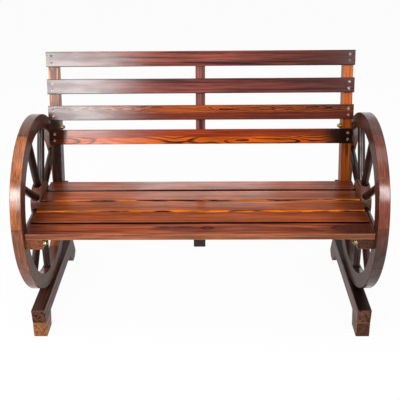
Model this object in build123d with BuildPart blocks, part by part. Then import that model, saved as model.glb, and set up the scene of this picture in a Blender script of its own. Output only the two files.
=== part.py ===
import os
from math import cos, degrees, radians, sin, sqrt, tan

from build123d import *

# A two-seat garden bench between two wooden wagon wheels, in millimetres.
# +X points to the right in a front view, +Y points to the back of the bench and +Z up.
# The origin lies on the ground, under the middle of the bench.

# Wheels
wheel_radius = 274.0
rim_depth = 46.0
rim_thickness = 32.0
rim_round = 2.5
felloe_count = 12
felloes_per_section = 2
first_joint_angle = 20.0
tongue_length = 8.0
tongue_thickness = 10.0
tongue_height = 20.0
tongue_clearance = 0.1
hub_radius = 65.0
hub_thickness = 32.0
hub_round = 2.5

# Spokes, turned rods with a thinner tenon at each end
spoke_count = 9
first_spoke_angle = 22.5
spoke_radius = 10.5
spoke_swell = 1.0
tenon_radius = 8.0
tenon_clearance = 0.15
counterbore_radius = 12.5
rim_counterbore_depth = 3.0
hub_counterbore_depth = 3.5
rim_tenon_depth = 12.0
hub_tenon_depth = 28.0

# Seat slats
seat_height = 395.0
seat_slat_count = 5
seat_slat_length = 975.0
seat_slat_width = 60.0
seat_slat_thickness = 18.0
seat_slat_gap = 10.0
seat_slat_round = 2.5
seat_behind_wheel_front = 13.0
slat_to_wheel_clearance = 2.5

# Back slats on a reclined plane, and how far above the seat each lower edge lies on it
back_slat_inset = 3.5
back_slat_width = 46.5
back_slat_thickness = 17.0
back_slat_round = 2.0
back_slat_starts = (125.0, 201.7, 284.7, 369.2)
back_recline = 17.6
back_behind_seat_front = 329.0

# Stiles that carry the back slats
stile_width = 30.0
stile_depth = 40.0
stile_round = 2.0
stile_spacer_thickness = 8.0
stile_spacer_radius = 11.5
stile_top_below_slat = 1.0
centre_stile_above_slat = 1.0

# Bearers that run front to back under the seat
side_bearer_width = 48.0
centre_bearer_width = 33.0
bearer_height = 33.0
bearer_front_setback = 3.0
centre_bearer_front_setback = 17.0
bearer_behind_stile = 8.0
centre_bearer_back_setback = 3.0
bearer_round = 2.0
slot_clearance = 0.2

# Skid beams with a shallow housing for each wheel
beam_width = 42.0
beam_height = 47.0
beam_inner_from_wheel = 10.0
beam_front_from_wheel_front = 65.0
beam_back_from_wheel_back = 31.0
beam_round = 1.5
wheel_housing_depth = 3.0

# Foot blocks under the beams
foot_height = 47.0
front_foot_top_length = 68.0
front_foot_toe = 6.0
front_foot_back_lean = 15.0
foot_back_from_wheel_back = 13.0
rear_foot_top_length = 78.0
rear_foot_front_lean = 39.0
rear_sole_length = 26.0
heel_from_wheel_back = 2.0
heel_height = 16.0

# Wood screws
screw_radius = 2.2
screw_head_radius = 4.0
screw_head_height = 2.4
screw_length = 45.0
screw_clearance = 0.15
screw_tip_share = 0.25
screw_slot_share = 0.2
slat_screw_spread = 20.0
slat_screw_bite = 13.0
long_screw_radius = 3.2
long_screw_head_radius = 6.0
long_screw_head_height = 3.5
long_screw_length = 60.0
foot_screw_spread = 20.0
foot_screw_sink = 12.0
wheel_screw_spread = 40.0
beam_screw_sink = 14.0

# Carriage bolts, their nuts and washers
bolt_radius = 4.0
bolt_clearance = 0.25
thread_clearance = 0.1
bolt_head_radius = 9.5
bolt_head_height = 4.5
washer_radius = 8.5
washer_thickness = 1.6
nut_width = 13.0
cap_nut_hex_height = 6.5
cap_nut_dome_radius = 5.8
hex_nut_height = 6.5
bolt_tail = 5.0
front_bolt_from_rim_edge = 25.0
rim_bolt_from_rim_edge = 30.0
rim_bolt_behind_stile_front = 12.5
fork_bolt_below_bearer_top = 12.0
overrun = 5.0

# Places worked out from the sizes above
back_slat_length = seat_slat_length - 2 * back_slat_inset
wheel_y = 0.0
wheel_front_y = wheel_y - wheel_radius
wheel_back_y = wheel_y + wheel_radius
beam_top = foot_height + beam_height
wheel_z = beam_top - wheel_housing_depth + wheel_radius
wheel_inner_x = seat_slat_length / 2 + slat_to_wheel_clearance
wheel_outer_x = wheel_inner_x + rim_thickness
wheel_middle_x = wheel_inner_x + rim_thickness / 2
rim_inner_radius = wheel_radius - rim_depth
rim_middle_radius = wheel_radius - rim_depth / 2
felloe_angle = 360.0 / felloe_count
spoke_angle_step = 360.0 / spoke_count
spoke_angles = [first_spoke_angle + spoke_angle_step * index for index in range(spoke_count)]

seat_front_y = wheel_front_y + seat_behind_wheel_front
seat_under_z = seat_height - seat_slat_thickness
bearer_bottom_z = seat_under_z - bearer_height
bearer_middle_z = seat_under_z - bearer_height / 2
seat_depth = seat_slat_count * seat_slat_width + (seat_slat_count - 1) * seat_slat_gap

recline = radians(back_recline)
back_front_y = seat_front_y + back_behind_seat_front
back_plane = Plane(
    origin=(0, back_front_y, seat_height),
    x_dir=(1, 0, 0),
    z_dir=(0, -cos(recline), sin(recline)),
)
stile_front = back_plane.offset(-back_slat_thickness)
stile_outer_x = wheel_inner_x - stile_spacer_thickness
stile_inner_x = stile_outer_x - stile_width
stile_middle_x = stile_outer_x - stile_width / 2
stile_top = back_slat_starts[-1] + back_slat_width - stile_top_below_slat

bearer_outer_x = wheel_inner_x
bearer_inner_x = bearer_outer_x - side_bearer_width
bearer_middle_x = bearer_outer_x - side_bearer_width / 2
beam_inner_x = wheel_inner_x - beam_inner_from_wheel
beam_middle_x = beam_inner_x + beam_width / 2
beam_front_y = wheel_front_y + beam_front_from_wheel_front
beam_back_y = wheel_back_y - beam_back_from_wheel_back
foot_back_y = wheel_back_y - foot_back_from_wheel_back


def stile_y(z, depth):
    """Y at the height z of the plane that lies depth behind the front of the stiles."""
    behind = (back_slat_thickness + depth) / cos(recline)
    return back_front_y + behind + (z - seat_height) * tan(recline)


bearer_back_y = stile_y(bearer_middle_z, stile_depth) + bearer_behind_stile


def stile_meets_circle(depth, radius):
    """Where a line down the stiles meets a circle about the wheel's axis, as (y, z)."""
    slope = tan(recline)
    across = stile_y(wheel_z, depth) - wheel_y
    a = 1 + slope**2
    b = across * slope
    rise = (sqrt(b**2 - a * (across**2 - radius**2)) - b) / a
    return stile_y(wheel_z + rise, depth), wheel_z + rise


# Each bolt runs along X at a place (y, z)
rim_bolt_y, rim_bolt_z = stile_meets_circle(
    rim_bolt_behind_stile_front,
    wheel_radius - rim_bolt_from_rim_edge,
)
front_bolt_z = bearer_middle_z
front_bolt_radius = wheel_radius - front_bolt_from_rim_edge
front_bolt_y = wheel_y - sqrt(front_bolt_radius**2 - (front_bolt_z - wheel_z)**2)
fork_bolt_z = seat_under_z - fork_bolt_below_bearer_top
fork_bolt_y = stile_y(fork_bolt_z, stile_depth / 2)


def mirrored(piece):
    """The same piece on the other side of the bench."""
    with BuildPart() as other:
        mirror(piece, about=Plane.YZ)
    return other.part


def both_sides(pieces):
    return pieces + [mirrored(piece) for piece in pieces]


def group(pieces):
    """Several separate solids that share one node."""
    return Compound(children=list(pieces))


def save(piece, name):
    piece.label = name
    export_step(piece, f"parts/{name}.step")


def side_block(x_start, width, outline):
    """A piece cut from a board: an outline of (y, z) points, width thick along X."""
    with BuildPart() as block:
        with BuildSketch(Plane.YZ.offset(x_start)):
            with BuildLine():
                Polyline(*outline, close=True)
            make_face()
        extrude(amount=width)
    return block.part


def hole_from(plane, radius, depth):
    """A round hole that starts on a plane and runs along its normal."""
    with BuildSketch(plane) as mouth:
        Circle(radius)
    extrude(mouth.sketch, amount=depth, mode=Mode.SUBTRACT)


def cross_hole(y, z, radius, x_start, length):
    """A round hole along X, taken out of the part being built."""
    hole_from(Plane(origin=(x_start, y, z), z_dir=(1, 0, 0)), radius, length)


def bolt_hole(y, z, x_start, length):
    """A clearance hole for a carriage bolt, a little longer than the wood at both ends."""
    cross_hole(y, z, bolt_radius + bolt_clearance, x_start - overrun, length + 2 * overrun)


def pilot_hole(plane, sink=0.0):
    """The hole that a slat screw's shank fills, closed at its tip."""
    hole_from(plane, screw_radius + screw_clearance, sink + screw_length + screw_clearance)


def screw_hole(plane, sink=0.0):
    """The shank hole and the pocket for the head of a slat screw."""
    pilot_hole(plane, sink)
    hole_from(plane.offset(-overrun), screw_head_radius + screw_clearance,
              overrun + sink + screw_head_height)


def long_pilot_hole(plane, sink):
    """The hole that a long screw's shank fills, closed at its tip."""
    hole_from(plane, long_screw_radius + screw_clearance,
              sink + long_screw_length + screw_clearance)


def long_screw_hole(plane, sink):
    """The shank hole and the deep pocket for the head of a long screw."""
    long_pilot_hole(plane, sink)
    hole_from(plane.offset(-overrun), long_screw_head_radius + screw_clearance,
              overrun + sink + long_screw_head_height)


def wood_screw(plane, radius, head_radius, head_height, length):
    """A countersunk wood screw driven along the plane's normal, head flush with the plane."""
    with BuildPart() as screw:
        with BuildSketch(plane):
            Circle(head_radius)
        with BuildSketch(plane.offset(head_height)):
            Circle(radius)
        loft()
        with BuildSketch(plane.offset(head_height)):
            Circle(radius)
        extrude(amount=length - head_height - radius)
        with BuildSketch(plane.offset(length - radius)):
            Circle(radius)
        with BuildSketch(plane.offset(length)):
            Circle(radius * screw_tip_share)
        loft()
        with BuildSketch(plane):
            Rectangle(head_radius, head_radius * screw_slot_share)
            Rectangle(head_radius * screw_slot_share, head_radius)
        extrude(amount=head_height / 2, mode=Mode.SUBTRACT)
    return screw.part


def slat_screw(plane, sink=0.0):
    return wood_screw(plane.offset(sink), screw_radius, screw_head_radius,
                      screw_head_height, screw_length)


def long_screw(plane, sink):
    return wood_screw(plane.offset(sink), long_screw_radius, long_screw_head_radius,
                      long_screw_head_height, long_screw_length)


def drive_plane(x, y, z, direction):
    """A plane on the wood at a screw's head, whose normal is the way the screw is driven."""
    return Plane(origin=(x, y, z), z_dir=direction)


def back_slat_screw_planes(start):
    """Two screws in each outer stile for the back slat that starts at this height."""
    planes = []
    for side in (-1, 1):
        for step in (-1, 1):
            up = start + back_slat_width / 2 + step * slat_screw_spread / 2
            spot = back_plane.from_local_coords((side * stile_middle_x, up, 0))
            planes.append(drive_plane(spot.X, spot.Y, spot.Z, -back_plane.z_dir))
    return planes


def centre_stile_screw_plane(start):
    """One screw from behind through the centre stile into a back slat."""
    up = start + back_slat_width / 2
    spot = stile_front.from_local_coords((0, up, -stile_depth))
    return drive_plane(spot.X, spot.Y, spot.Z, back_plane.z_dir)


def seat_slat_middle_y(index):
    return seat_front_y + index * (seat_slat_width + seat_slat_gap) + seat_slat_width / 2


def seat_screw_planes(x):
    """One screw up through a bearer into each seat slat."""
    return [
        drive_plane(x, seat_slat_middle_y(index), bearer_bottom_z, (0, 0, 1))
        for index in range(seat_slat_count)
    ]


centre_stile_sink = stile_depth + slat_screw_bite - screw_length
bearer_screw_sink = bearer_height + slat_screw_bite - screw_length
seat_screw_columns = (-bearer_middle_x, 0, bearer_middle_x)

front_foot_screw_y = beam_front_y + (front_foot_top_length - front_foot_back_lean) / 2
rear_foot_screw_y = foot_back_y - rear_foot_top_length + rear_foot_front_lean
foot_screw_ys = (front_foot_screw_y, rear_foot_screw_y + rear_sole_length / 2)
foot_screw_planes = [
    drive_plane(beam_middle_x + step * foot_screw_spread / 2, y, 0, (0, 0, 1))
    for y in foot_screw_ys
    for step in (-1, 1)
]
wheel_screw_planes = [
    drive_plane(wheel_middle_x, wheel_y + step * wheel_screw_spread / 2, foot_height, (0, 0, 1))
    for step in (-1, 1)
]


def seat_slat(index):
    """A straight board with rounded long edges, screwed from below."""
    with BuildPart() as slat:
        with BuildSketch(Plane.XY.offset(seat_under_z)):
            with Locations((0, seat_slat_middle_y(index))):
                Rectangle(seat_slat_length, seat_slat_width)
        extrude(amount=seat_slat_thickness)
        fillet(slat.edges().filter_by(Axis.X).group_by(Axis.Z)[-1], seat_slat_round)
        for x in seat_screw_columns:
            pilot_hole(seat_screw_planes(x)[index], bearer_screw_sink)
    return slat.part


def back_slat(start):
    """A straight board across the stiles, its front face on the back plane."""
    with BuildPart() as slat:
        with BuildSketch(stile_front):
            with Locations((0, start + back_slat_width / 2)):
                Rectangle(back_slat_length, back_slat_width)
        extrude(amount=back_slat_thickness)
        fillet(slat.edges().filter_by(Axis.X), back_slat_round)
        for plane in back_slat_screw_planes(start):
            screw_hole(plane)
        pilot_hole(centre_stile_screw_plane(start), centre_stile_sink)
    return slat.part


def side_stile(x_middle):
    """An upright behind the back slats, cut level with the underside of the bearers."""
    reach = stile_top + (seat_height - bearer_bottom_z) / cos(recline) + stile_depth
    with BuildPart() as post:
        with BuildSketch(stile_front):
            with Locations((x_middle, stile_top - reach / 2)):
                Rectangle(stile_width, reach)
        extrude(amount=-stile_depth)
        split(bisect_by=Plane.XY.offset(bearer_bottom_z), keep=Keep.TOP)
        fillet(post.edges().filter_by(Axis.X).sort_by(Axis.Z)[-2:], stile_round)
        for y, z in ((rim_bolt_y, rim_bolt_z), (fork_bolt_y, fork_bolt_z)):
            bolt_hole(y, z, x_middle - stile_width / 2, stile_width)
        for start in back_slat_starts:
            for plane in back_slat_screw_planes(start):
                pilot_hole(plane)
    return post.part


def centre_stile():
    """A short batten behind the middle of the four back slats."""
    bottom = back_slat_starts[0] + centre_stile_above_slat
    with BuildPart() as batten:
        with BuildSketch(stile_front):
            with Locations((0, (bottom + stile_top) / 2)):
                Rectangle(stile_width, stile_top - bottom)
        extrude(amount=-stile_depth)
        fillet(batten.edges().filter_by(Axis.X), stile_round)
        for start in back_slat_starts:
            screw_hole(centre_stile_screw_plane(start), centre_stile_sink)
    return batten.part


def side_bearer():
    """The right-hand bearer. Its back end is forked round the stile."""
    front = seat_front_y + bearer_front_setback
    with BuildPart() as bearer:
        with BuildSketch(Plane.XY.offset(bearer_bottom_z)):
            with Locations((bearer_middle_x, (front + bearer_back_y) / 2)):
                Rectangle(side_bearer_width, bearer_back_y - front)
        extrude(amount=bearer_height)
        fillet(bearer.edges().filter_by(Axis.Y).group_by(Axis.Z)[0], bearer_round)
        with BuildSketch(stile_front.offset(slot_clearance)) as slot:
            with Locations((stile_middle_x, 0)):
                Rectangle(stile_width + 2 * slot_clearance, seat_height)
        extrude(slot.sketch, amount=-2 * stile_depth, mode=Mode.SUBTRACT)
        for y, z in ((front_bolt_y, front_bolt_z), (fork_bolt_y, fork_bolt_z)):
            bolt_hole(y, z, bearer_inner_x, side_bearer_width)
        for plane in seat_screw_planes(bearer_middle_x):
            screw_hole(plane, bearer_screw_sink)
    return bearer.part


def centre_bearer():
    """The middle bearer, which ties the five seat slats to each other."""
    front = seat_front_y + centre_bearer_front_setback
    back = seat_front_y + seat_depth - centre_bearer_back_setback
    with BuildPart() as bearer:
        with BuildSketch(Plane.XY.offset(bearer_bottom_z)):
            with Locations((0, (front + back) / 2)):
                Rectangle(centre_bearer_width, back - front)
        extrude(amount=bearer_height)
        fillet(bearer.edges().filter_by(Axis.Y).group_by(Axis.Z)[0], bearer_round)
        for plane in seat_screw_planes(0):
            screw_hole(plane, bearer_screw_sink)
    return bearer.part


def spoke_line(angle):
    """A plane at the wheel's centre whose normal points along a spoke."""
    turn = radians(angle)
    return Plane(
        origin=(wheel_middle_x, wheel_y, wheel_z),
        x_dir=(1, 0, 0),
        z_dir=(0, cos(turn), sin(turn)),
    )


def ring_piece(x_start, thickness, inner, outer, start, sweep_angle, mode=Mode.ADD):
    """A piece of a ring about the wheel's axis, in the part being built."""
    with BuildSketch(Plane.YZ.offset(x_start)) as outline:
        with BuildLine():
            outside = CenterArc((wheel_y, wheel_z), outer, start, sweep_angle)
            inside = CenterArc((wheel_y, wheel_z), inner, start, sweep_angle)
            Line(outside @ 0, inside @ 0)
            Line(outside @ 1, inside @ 1)
        make_face()
    extrude(outline.sketch, amount=thickness, mode=mode)


def spoke_socket(angle, floor, tenon_end):
    """A round seat for a spoke's shoulder, with a deeper hole for its tenon."""
    line = spoke_line(angle)
    out = 1 if tenon_end > floor else -1
    mouth = line.offset(floor - out * 2 * overrun)
    depth = abs(tenon_end - floor) + tenon_clearance
    with BuildSketch(mouth) as seat:
        Circle(counterbore_radius)
    extrude(seat.sketch, amount=out * 2 * overrun, mode=Mode.SUBTRACT)
    with BuildSketch(line.offset(floor)) as bore:
        Circle(tenon_radius + tenon_clearance)
    extrude(bore.sketch, amount=out * depth, mode=Mode.SUBTRACT)


hub_floor = hub_radius - hub_counterbore_depth
rim_floor = rim_inner_radius + rim_counterbore_depth
hub_tenon_end = hub_radius - hub_tenon_depth
rim_tenon_end = rim_inner_radius + rim_tenon_depth


def felloe(index):
    """One curved piece of the right wheel's rim, with a tongue and a mortise at its ends."""
    start = first_joint_angle + felloe_angle * index
    tongue_angle = degrees(tongue_length / rim_middle_radius)
    gap_angle = degrees(tongue_clearance / rim_middle_radius)
    tongue_x = wheel_middle_x - tongue_thickness / 2
    inner = rim_middle_radius - tongue_height / 2 + rim_counterbore_depth
    outer = inner + tongue_height
    socket_angle = degrees(2 * counterbore_radius / rim_inner_radius)
    with BuildPart() as piece:
        ring_piece(wheel_inner_x, rim_thickness, rim_inner_radius, wheel_radius,
                   start, felloe_angle)
        fillet(piece.edges().filter_by(GeomType.CIRCLE), rim_round)
        ring_piece(tongue_x - tongue_clearance, tongue_thickness + 2 * tongue_clearance,
                   inner - tongue_clearance, outer + tongue_clearance,
                   start - tongue_angle, 2 * tongue_angle + gap_angle, Mode.SUBTRACT)
        ring_piece(tongue_x, tongue_thickness, inner, outer,
                   start + felloe_angle - tongue_angle, 2 * tongue_angle)
        for angle in spoke_angles:
            turn = (angle - start + socket_angle) % 360
            if turn < felloe_angle + 2 * socket_angle:
                spoke_socket(angle, rim_floor, rim_tenon_end)
        for y, z in ((rim_bolt_y, rim_bolt_z), (front_bolt_y, front_bolt_z)):
            bolt_hole(y, z, wheel_inner_x, rim_thickness)
        for plane in wheel_screw_planes:
            long_pilot_hole(plane, beam_screw_sink)
    return piece.part


def rim_section(number):
    """Neighbouring felloes glued end to end, kept as separate solids."""
    first = number * felloes_per_section
    return [felloe(first + step) for step in range(felloes_per_section)]


def spoke(angle):
    """A turned rod with a slight swell, its shoulders and tenons in the hub and the rim."""
    line = spoke_line(angle)
    side = Plane(origin=line.origin, x_dir=line.x_dir, z_dir=-line.y_dir)
    with BuildPart() as rod:
        with BuildSketch(side) as half:
            with BuildLine():
                swelling = Spline(
                    (spoke_radius, hub_floor),
                    (spoke_radius + spoke_swell, (hub_floor + rim_floor) / 2),
                    (spoke_radius, rim_floor),
                )
                Polyline(
                    swelling @ 1,
                    (tenon_radius, rim_floor),
                    (tenon_radius, rim_tenon_end),
                    (0, rim_tenon_end),
                    (0, hub_tenon_end),
                    (tenon_radius, hub_tenon_end),
                    (tenon_radius, hub_floor),
                    swelling @ 0,
                )
            make_face()
        revolve(half.sketch, axis=Axis(line.origin, line.z_dir))
    return rod.part


def hub():
    """The right wheel's hub: a turned disc with a socket for each spoke."""
    with BuildPart() as disc:
        with BuildSketch(Plane.YZ.offset(wheel_inner_x)):
            with Locations((wheel_y, wheel_z)):
                Circle(hub_radius)
        extrude(amount=hub_thickness)
        fillet(disc.edges().filter_by(GeomType.CIRCLE), hub_round)
        for angle in spoke_angles:
            spoke_socket(angle, hub_floor, hub_tenon_end)
    return disc.part


def beam():
    """The right-hand skid beam, with a shallow housing for the wheel's rim."""
    outline = (
        (beam_front_y, foot_height),
        (foot_back_y, foot_height),
        (beam_back_y, beam_top),
        (beam_front_y, beam_top),
    )
    with BuildPart() as skid:
        add(side_block(beam_inner_x, beam_width, outline))
        fillet(skid.edges().filter_by(Axis.Y), beam_round)
        with BuildSketch(Plane.YZ.offset(wheel_inner_x)) as housing:
            with Locations((wheel_y, wheel_z)):
                Circle(wheel_radius)
        extrude(housing.sketch, amount=beam_width, mode=Mode.SUBTRACT)
        for plane in foot_screw_planes:
            long_pilot_hole(plane, foot_screw_sink)
        for plane in wheel_screw_planes:
            long_screw_hole(plane, beam_screw_sink)
    return skid.part


def foot(outline):
    """A foot block under the right-hand beam, its sole flat on the ground."""
    with BuildPart() as block:
        add(side_block(beam_inner_x, beam_width, outline))
        fillet(block.edges().filter_by(Axis.Y), beam_round)
        for plane in foot_screw_planes:
            long_screw_hole(plane, foot_screw_sink)
    return block.part


def front_foot():
    top_back = beam_front_y + front_foot_top_length
    return foot((
        (beam_front_y - front_foot_toe, 0),
        (top_back - front_foot_back_lean, 0),
        (top_back, foot_height),
        (beam_front_y, foot_height),
    ))


def rear_foot():
    top_front = foot_back_y - rear_foot_top_length
    sole_front = top_front + rear_foot_front_lean
    return foot((
        (sole_front, 0),
        (sole_front + rear_sole_length, 0),
        (wheel_back_y - heel_from_wheel_back, heel_height),
        (foot_back_y, foot_height),
        (top_front, foot_height),
    ))


def stile_spacer():
    """A wooden washer between the right wheel's rim and the stile."""
    with BuildPart() as spacer:
        with BuildSketch(Plane.YZ.offset(stile_outer_x)):
            with Locations((rim_bolt_y, rim_bolt_z)):
                Circle(stile_spacer_radius)
                Circle(bolt_radius + bolt_clearance, mode=Mode.SUBTRACT)
        extrude(amount=stile_spacer_thickness)
    return spacer.part


def carriage_bolt(y, z, head_x, tail_x):
    """A domed bolt along X. Its head sits on head_x and its shank ends at tail_x."""
    dome = (bolt_head_radius**2 + bolt_head_height**2) / (2 * bolt_head_height)
    middle_rise = sqrt(dome**2 - bolt_head_radius**2 / 4) - (dome - bolt_head_height)
    with BuildPart() as bolt:
        with BuildSketch(Plane.XZ.offset(-y)) as half:
            with BuildLine():
                top = ThreePointArc(
                    (head_x, z + bolt_head_radius),
                    (head_x + middle_rise, z + bolt_head_radius / 2),
                    (head_x + bolt_head_height, z),
                )
                Polyline(
                    top @ 1,
                    (tail_x, z),
                    (tail_x, z + bolt_radius),
                    (head_x, z + bolt_radius),
                    top @ 0,
                )
            make_face()
        revolve(half.sketch, axis=Axis((head_x, y, z), (1, 0, 0)))
    return bolt.part


def washer(y, z, x_face):
    """A flat washer on the inner face x_face, toward the middle of the bench."""
    with BuildPart() as ring:
        with BuildSketch(Plane.YZ.offset(x_face - washer_thickness)):
            with Locations((y, z)):
                Circle(washer_radius)
                Circle(bolt_radius + bolt_clearance, mode=Mode.SUBTRACT)
        extrude(amount=washer_thickness)
    return ring.part


def hex_nut(y, z, x_face):
    """A plain nut on a washer, toward the middle of the bench."""
    seat = x_face - washer_thickness
    with BuildPart() as nut:
        with BuildSketch(Plane.YZ.offset(seat)):
            with Locations((y, z)):
                RegularPolygon(nut_width / 2, 6, major_radius=False)
                Circle(bolt_radius + thread_clearance, mode=Mode.SUBTRACT)
        extrude(amount=-hex_nut_height)
    return nut.part


def cap_nut(y, z, x_face):
    """A domed cap nut on a washer, toward the middle of the bench."""
    seat = x_face - washer_thickness
    with BuildPart() as nut:
        with BuildSketch(Plane.YZ.offset(seat)):
            with Locations((y, z)):
                RegularPolygon(nut_width / 2, 6, major_radius=False)
        extrude(amount=-cap_nut_hex_height)
        with Locations((seat - cap_nut_hex_height, y, z)):
            Sphere(cap_nut_dome_radius)
        cross_hole(y, z, bolt_radius + thread_clearance,
                   seat - cap_nut_hex_height, cap_nut_hex_height + overrun)
    return nut.part


cap_depth = washer_thickness + cap_nut_hex_height
nut_depth = washer_thickness + hex_nut_height

right_bolts = [
    carriage_bolt(rim_bolt_y, rim_bolt_z, wheel_outer_x, stile_inner_x - cap_depth),
    carriage_bolt(front_bolt_y, front_bolt_z, wheel_outer_x, bearer_inner_x - cap_depth),
    carriage_bolt(fork_bolt_y, fork_bolt_z, bearer_outer_x,
                  bearer_inner_x - nut_depth - bolt_tail),
]
right_cap_nuts = [
    cap_nut(rim_bolt_y, rim_bolt_z, stile_inner_x),
    cap_nut(front_bolt_y, front_bolt_z, bearer_inner_x),
]
right_nuts_and_washers = [
    washer(rim_bolt_y, rim_bolt_z, stile_inner_x),
    washer(front_bolt_y, front_bolt_z, bearer_inner_x),
    washer(fork_bolt_y, fork_bolt_z, bearer_inner_x),
    hex_nut(fork_bolt_y, fork_bolt_z, bearer_inner_x),
]
back_slat_screws = [
    slat_screw(plane) for start in back_slat_starts for plane in back_slat_screw_planes(start)
]
back_slat_screws += [
    slat_screw(centre_stile_screw_plane(start), centre_stile_sink)
    for start in back_slat_starts
]
seat_slat_screws = [
    slat_screw(plane, bearer_screw_sink)
    for x in seat_screw_columns
    for plane in seat_screw_planes(x)
]
long_screws = both_sides(
    [long_screw(plane, foot_screw_sink) for plane in foot_screw_planes]
    + [long_screw(plane, beam_screw_sink) for plane in wheel_screw_planes]
)

os.makedirs("parts", exist_ok=True)

for index in range(seat_slat_count):
    save(seat_slat(index), f"seat_slat_{index + 1}")
for index, start in enumerate(reversed(back_slat_starts)):
    save(back_slat(start), f"back_slat_{index + 1}")

save(side_stile(-stile_middle_x), "left_stile")
save(centre_stile(), "centre_stile")
save(side_stile(stile_middle_x), "right_stile")

right_bearer = side_bearer()
save(right_bearer, "right_seat_bearer")
save(mirrored(right_bearer), "left_seat_bearer")
save(centre_bearer(), "centre_seat_bearer")

for number in range(felloe_count // felloes_per_section):
    section = rim_section(number)
    save(group(section), f"right_rim_section_{number + 1}")
    save(group(mirrored(piece) for piece in section), f"left_rim_section_{number + 1}")
for number, angle in enumerate(spoke_angles):
    rod = spoke(angle)
    save(rod, f"right_spoke_{number + 1}")
    save(mirrored(rod), f"left_spoke_{number + 1}")
right_hub = hub()
save(right_hub, "right_hub")
save(mirrored(right_hub), "left_hub")

right_pieces = (
    (beam(), "skid_beam"),
    (front_foot(), "front_foot"),
    (rear_foot(), "rear_foot"),
)
for piece, name in right_pieces:
    save(piece, f"right_{name}")
    save(mirrored(piece), f"left_{name}")

save(group(both_sides([stile_spacer()])), "stile_spacers")
save(group(both_sides(right_bolts)), "carriage_bolts")
save(group(both_sides(right_cap_nuts)), "cap_nuts")
save(group(both_sides(right_nuts_and_washers)), "nuts_and_washers")
save(group(back_slat_screws), "back_slat_screws")
save(group(seat_slat_screws), "seat_slat_screws")
save(group(long_screws), "long_screws")
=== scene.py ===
# %% [markdown]
# # A wagon wheel bench in stained and lacquered fir
# The bench stands between two wooden wheels. Its solids come ready made, one object for each
# board, spoke and screw, so this lesson is about looking: wood that keeps the direction of
# its grain in every piece, a gloss coat, a little metal, and a plain photographer's light.

from math import cos, pi, radians, sin

import bpy
from mathutils import Matrix, Vector

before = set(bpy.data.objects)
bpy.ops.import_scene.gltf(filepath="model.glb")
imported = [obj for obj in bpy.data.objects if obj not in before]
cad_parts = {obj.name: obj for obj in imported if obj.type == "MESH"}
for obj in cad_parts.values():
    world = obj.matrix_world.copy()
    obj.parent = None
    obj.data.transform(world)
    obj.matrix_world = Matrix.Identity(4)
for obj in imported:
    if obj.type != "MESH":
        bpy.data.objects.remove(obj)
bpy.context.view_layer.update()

# %% [markdown]
# ## The camera
# The photographer stood in front of the bench, a little above it, and aimed down at the seat.
# A camera object looks along its own -Z axis. So instead of guessing Euler angles, we build
# the three axes from a heading, a downward pitch and a small roll, and put them in a matrix.

# %% Camera
camera_place = Vector((0.0322, -1.8267, 1.3099))
camera_pitch = 0.4763
camera_heading = -0.0187
camera_roll = -0.0119
sensor_width = 36.0
focal_pixels = 651.95
photo_width = 400

ahead = Vector((
    sin(camera_heading) * cos(camera_pitch),
    cos(camera_heading) * cos(camera_pitch),
    -sin(camera_pitch),
))
level_right = Vector((cos(camera_heading), -sin(camera_heading), 0))
level_up = level_right.cross(ahead)
right = level_right * cos(camera_roll) + level_up * sin(camera_roll)
up = level_up * cos(camera_roll) - level_right * sin(camera_roll)

camera_data = bpy.data.cameras.new("photo_camera")
camera_data.sensor_width = sensor_width
camera_data.lens = sensor_width * focal_pixels / photo_width
camera = bpy.data.objects.new("photo_camera", camera_data)
axes = Matrix((right, up, -ahead)).transposed()
camera.matrix_world = Matrix.Translation(camera_place) @ axes.to_4x4()
bpy.context.scene.collection.objects.link(camera)
bpy.context.scene.camera = camera
print("lens in mm:", round(camera_data.lens, 2))

# %% [markdown]
# ## Small helpers for shader nodes
# Shader trees are easiest to read when each line adds one node and says what feeds it.
# These helpers take either a number or another node's output for every input.

# %% Node helpers
def feed(tree, socket, value):
    """Link an output to a socket, or write a plain value into it."""
    if isinstance(value, bpy.types.NodeSocket):
        tree.links.new(value, socket)
    else:
        socket.default_value = value


def calc(tree, operation, *values, clamp=False):
    """One Math node."""
    node = tree.nodes.new("ShaderNodeMath")
    node.operation = operation
    node.use_clamp = clamp
    for socket, value in zip(node.inputs, values):
        feed(tree, socket, value)
    return node.outputs[0]


def vector_calc(tree, operation, *values):
    """One Vector Math node. Operations that give a number use its Value output."""
    node = tree.nodes.new("ShaderNodeVectorMath")
    node.operation = operation
    for socket, value in zip(node.inputs, values):
        feed(tree, socket, value)
    gives_number = operation in ("DOT_PRODUCT", "LENGTH")
    return node.outputs["Value" if gives_number else "Vector"]


def scaled(tree, vector, amount):
    """A vector or colour times one number."""
    node = tree.nodes.new("ShaderNodeVectorMath")
    node.operation = "SCALE"
    feed(tree, node.inputs[0], vector)
    feed(tree, node.inputs["Scale"], amount)
    return node.outputs["Vector"]


def parts_of(tree, vector):
    """The x, y and z of a vector, each as an output."""
    node = tree.nodes.new("ShaderNodeSeparateXYZ")
    feed(tree, node.inputs[0], vector)
    return node.outputs


def vector_of(tree, x, y, z):
    """A vector from three numbers or outputs."""
    node = tree.nodes.new("ShaderNodeCombineXYZ")
    for socket, value in zip(node.inputs, (x, y, z)):
        feed(tree, socket, value)
    return node.outputs[0]


def blend(tree, share, first, second):
    """A Mix node for colours."""
    node = tree.nodes.new("ShaderNodeMix")
    node.data_type = "RGBA"
    feed(tree, node.inputs[0], share)
    feed(tree, node.inputs[6], first)
    feed(tree, node.inputs[7], second)
    return node.outputs[2]


def ramp(tree, value, low, high, to_low=0.0, to_high=1.0):
    """A soft step from low to high."""
    node = tree.nodes.new("ShaderNodeMapRange")
    node.interpolation_type = "SMOOTHSTEP"
    for socket, number in zip(node.inputs, (value, low, high, to_low, to_high)):
        feed(tree, socket, number)
    return node.outputs[0]


print("arithmetic helpers ready")

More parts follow.
